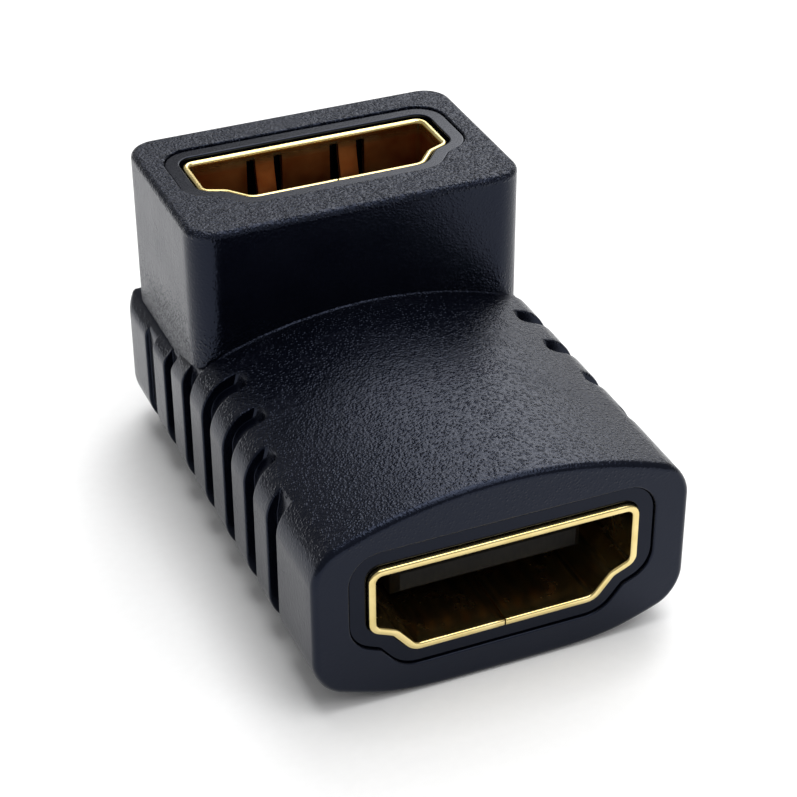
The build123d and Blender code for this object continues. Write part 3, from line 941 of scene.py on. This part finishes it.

# %% [markdown]
# ### Gold plate on spring bronze
#
# The contacts are stamped from bronze, so that they stay springy, and plated thinly. Deep in
# the socket they lie in shade, so their colour is painted as a dark brown, and they are worn in
# small spots. The shells' material would be too bright for them.

# %% The contacts' finish
contact_gold_in_shade, tree, place = new_material("shaded_gold_plated_bronze")
wear = add(tree, "TexNoise", {"Vector": place, "Scale": per_mm(0.3)}, out="Fac")
share = add(tree, "MapRange", {"Value": wear, **noise_span}, out="Result")
# These dark browns are gold with the socket's shade painted into it
shaded_bronze_dark, shaded_bronze_light = linear("#6a4c20"), linear("#7c5c2e")
shade = add(tree, "MixRGB", {"Fac": share, "Color1": shaded_bronze_dark, "Color2": shaded_bronze_light}, out="Color")
rough = add(tree, "MapRange", {"Value": wear, **noise_span, "To Min": 0.3, "To Max": 0.45}, out="Result")
shader = add(tree, "BsdfPrincipled", {"Base Color": shade, "Roughness": rough, "Metallic": 1.0}, out="BSDF")
add(tree, "OutputMaterial", {"Surface": shader})
contacts = [name for name in frame["nodes"] if "contact" in name]
paint(contacts, contact_gold_in_shade)
print(contact_gold_in_shade.name, "is on", len(contacts), "contacts")

# %% [markdown]
# ### Glass-filled liquid crystal polymer
#
# The insulators are moulded from a stiff black polymer filled with short glass fibres. It
# comes out of the mould dull, with fine flow lines. Noise drawn out along two axes gives
# those lines without a picture.

# %% The insulators' finish
polymer, tree, place = new_material("glass_filled_polymer")
flow_place = add(tree, "Mapping", {"Vector": place, "Scale": (1.0, 0.3, 0.3)}, out="Vector")
flow = add(tree, "TexNoise", {"Vector": flow_place, "Scale": per_mm(0.15), "Detail": 3.0}, out="Fac")
share = add(tree, "MapRange", {"Value": flow, **noise_span}, out="Result")
polymer_dark, polymer_light = linear("#030304"), linear("#060607")
shade = add(tree, "MixRGB", {"Fac": share, "Color1": polymer_dark, "Color2": polymer_light}, out="Color")
rough = add(tree, "MapRange", {"Value": flow, **noise_span, "To Min": 0.42, "To Max": 0.6}, out="Result")
bump = add(tree, "Bump", {"Height": flow, "Strength": 0.4, "Distance": 0.01 * MM}, out="Normal")
shader = add(tree, "BsdfPrincipled", {
    "Base Color": shade, "Roughness": rough, "Normal": bump, "IOR": 1.6,
    "Specular IOR Level": 0.12}, out="BSDF")
add(tree, "OutputMaterial", {"Surface": shader})
paint(["front_insulator", "top_insulator"], polymer)
print(polymer.name, "has", len(tree.nodes), "nodes")

# %% [markdown]
# ### Glass and epoxy under a green mask
#
# The board between the sockets is woven glass in epoxy. The green solder mask over it is
# smooth, and the weave shows through as faint lighter bands. The board is hidden, so a
# single wave pattern is enough.

# %% The board's finish
laminate, tree, place = new_material("masked_glass_epoxy")
# At this scale the wave's bands are about 1.6 mm apart
weave = add(tree, "TexWave", {"Vector": place, "Scale": 0.2 / MM, "Distortion": 1.0}, out="Fac")
mask_dark, mask_light = linear("#1c4a2c"), linear("#22563a")
shade = add(tree, "MixRGB", {"Fac": weave, "Color1": mask_dark, "Color2": mask_light}, out="Color")
shader = add(tree, "BsdfPrincipled", {"Base Color": shade, "Roughness": 0.35}, out="BSDF")
add(tree, "OutputMaterial", {"Surface": shader})
paint(["circuit_board"], laminate)
print(laminate.name, "has", len(tree.nodes), "nodes")

# %% [markdown]
# ## Floor and light
#
# Black plastic shows its surroundings more than its own colour, so the lamps stand where
# the photo's reflections place them. The crown and the block's top shine with a large soft
# lamp behind them on the right, seen with one corner down, and a small one below it lights
# the crown's right side. Two more stand above and in front. The wall that faces the viewer
# reflects only the dark crown, so it is nearly black. The floor is a white card on white. A
# curved backdrop would do too, but on white no edge shows.

# %% Floor
floor_half = 0.2
floor_corners = [(x * floor_half, y * floor_half, 0) for x, y in ((-1, -1), (1, -1), (1, 1), (-1, 1))]
floor_mesh = bpy.data.meshes.new("floor")
floor_mesh.from_pydata(floor_corners, [], [(0, 1, 2, 3)])
floor = bpy.data.objects.new("floor", floor_mesh)
bpy.context.scene.collection.objects.link(floor)

card, tree, place = new_material("matte_white_card")
fibre = add(tree, "TexNoise", {"Vector": place, "Scale": per_mm(0.6), "Detail": 3.0}, out="Fac")
share = add(tree, "MapRange", {"Value": fibre, **noise_span}, out="Result")
card_dark, card_light = linear("#fdfdfd"), linear("#ffffff")
shade = add(tree, "MixRGB", {"Fac": share, "Color1": card_dark, "Color2": card_light}, out="Color")
shader = add(tree, "BsdfPrincipled", {
    "Base Color": shade, "Roughness": 0.9, "Specular IOR Level": 0.1}, out="BSDF")
add(tree, "OutputMaterial", {"Surface": shader})
floor_mesh.materials.append(card)
print("floor is", 2 * floor_half, "m wide")

# %% Lamps and world
def softbox(name, place_mm, aim_mm, size_mm, watts, turned=0.0):
    """A square area lamp at place_mm that faces aim_mm, turned by some degrees about its own axis."""
    lamp = bpy.data.lights.new(name, "AREA")
    lamp.shape, lamp.size, lamp.energy = "SQUARE", size_mm * MM, watts
    holder = bpy.data.objects.new(name, lamp)
    direction = Vector(aim_mm) - Vector(place_mm)
    towards = direction.to_track_quat("-Z", "Y").to_matrix().to_4x4()
    turn = Matrix.Rotation(math.radians(turned), 4, "Z")
    holder.matrix_world = Matrix.Translation(Vector(place_mm) * MM) @ towards @ turn
    bpy.context.scene.collection.objects.link(holder)
    print(f"{name}: {direction.length:.0f} mm away")


softbox("above", (60, 0, 610), (0, 0, 0), 400, 2.1)
softbox("front_top", (180, -330, 460), (0, 0, 8), 300, 0.6)
softbox("back_right", (237, 352, 432), (0, 0, 8), 436, 1.75, turned=45)
softbox("low_right", (334, 398, 210), (0, 0, 8), 238, 0.23)

# To the camera the world is pure white, and as a source of light it is dimmer
world = bpy.data.worlds.new("tent")
bpy.context.scene.world = world
world.use_nodes = True
tree = world.node_tree
tree.nodes.clear()
seen_directly = add(tree, "LightPath", out="Is Camera Ray")
strength = add(tree, "MapRange", {"Value": seen_directly, "To Min": 0.36, "To Max": 1.0}, out="Result")
backdrop = add(tree, "Background", {"Color": linear("#ffffff"), "Strength": strength}, out="Background")
add(tree, "OutputWorld", {"Surface": backdrop})
bpy.context.scene.view_settings.view_transform = "Standard"
